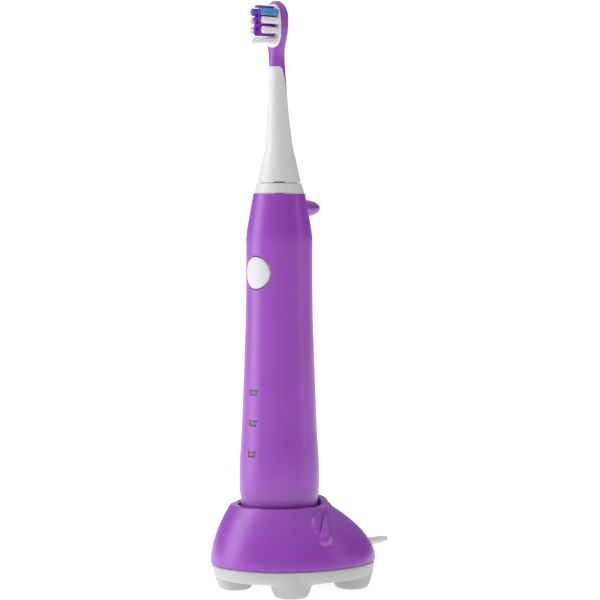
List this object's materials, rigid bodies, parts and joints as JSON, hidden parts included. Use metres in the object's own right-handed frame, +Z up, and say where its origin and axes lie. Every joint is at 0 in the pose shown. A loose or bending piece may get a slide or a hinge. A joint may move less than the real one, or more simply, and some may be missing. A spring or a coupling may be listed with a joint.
{
  "type": "electric toothbrush on charger",
  "caption": "Upright sonic toothbrush with a pull-off brush head, standing in a domed inductive charger with a thin low-voltage lead and plug.",
  "frame": {"origin": "centre of the charger's outline, on the surface it stands on", "axes": "+Z up along the handle, -Y towards the front where the button and bristles face, +Y towards the rear where the lead leaves"},
  "size_m": [0.0958, 0.1028, 0.2264],
  "materials": {
    "purple_plastic": "satin moulded plastic",
    "white_plastic": "satin moulded plastic",
    "inner_plastic": "plain moulded plastic",
    "cord_jacket": "soft vinyl jacket",
    "rubber": "matte rubber",
    "steel": "plated",
    "copper": "enamelled winding wire and bearing bronze",
    "ferrite": "dark ceramic",
    "circuit_board": "solder mask",
    "battery_wrap": "shrink wrap",
    "light_guide": "unlit smoked lens",
    "bristle_white": "nylon filament",
    "bristle_purple": "nylon filament",
    "bristle_blue": "nylon filament"
  },
  "bodies": {
    "charger": {"base_shell": "purple_plastic", "base_cover": "white_plastic", "foot_pad_1": "rubber", "foot_pad_2": "rubber", "foot_pad_3": "rubber", "foot_pad_4": "rubber", "base_screw_1": "steel", "base_screw_2": "steel", "base_screw_3": "steel", "base_screw_4": "steel", "charging_post": "purple_plastic", "ferrite_core": "ferrite", "primary_coil": "copper", "charger_board": "circuit_board", "strain_relief": "cord_jacket", "lead_cord": "cord_jacket", "inner_lead": "cord_jacket", "lead_coil": "cord_jacket", "coil_tie": "rubber", "lead_tail": "cord_jacket", "plug_body": "cord_jacket", "plug_shell": "steel", "plug_tongue": "white_plastic"},
    "handle": {"handle_shell": "purple_plastic", "handle_cap": "purple_plastic", "cap_seal": "rubber", "secondary_coil": "copper", "chassis": "inner_plastic", "battery": "battery_wrap", "motor": "steel", "motor_clamp": "inner_plastic", "main_board": "circuit_board", "tact_switch": "ferrite", "mode_light_1": "light_guide", "mode_light_2": "light_guide", "mode_light_3": "light_guide", "mode_led_1": "white_plastic", "mode_led_2": "white_plastic", "mode_led_3": "white_plastic", "bearing_carrier": "inner_plastic", "shaft_bearing": "copper", "shaft_seal": "rubber"},
    "button": {"power_button": "white_plastic"},
    "shaft": {"drive_shaft": "steel"},
    "brush_head": {"head_ring": "white_plastic", "head_sleeve": "white_plastic", "head_bush": "inner_plastic", "head_back": "purple_plastic", "tuft_plate": "white_plastic", "tufts_purple": "bristle_purple", "tufts_white_low": "bristle_white", "tufts_white_left": "bristle_white", "tufts_white_right": "bristle_white", "tuft_blue_left": "bristle_blue", "tuft_blue_right": "bristle_blue"}
  },
  "joints": [
    {"name": "handle_lift", "type": "slide", "parent": "charger", "child": "handle", "axis": [0, 0, 1], "range_m": [0, 0.06]},
    {"name": "button_press", "type": "slide", "parent": "handle", "child": "button", "axis": [0, 1, 0], "range_m": [0, 0.0004], "stiffness_N_per_m": 3000},
    {"name": "shaft_swing", "type": "hinge", "parent": "handle", "child": "shaft", "pos_m": [0, -0.0077, 0.13], "axis": [0, 0, 1], "range_deg": [-5, 5], "stiffness_Nm_per_rad": 0.3},
    {"name": "head_pull", "type": "slide", "parent": "shaft", "child": "brush_head", "axis": [0, 0, 1], "range_m": [0, 0.022]}
  ]
}
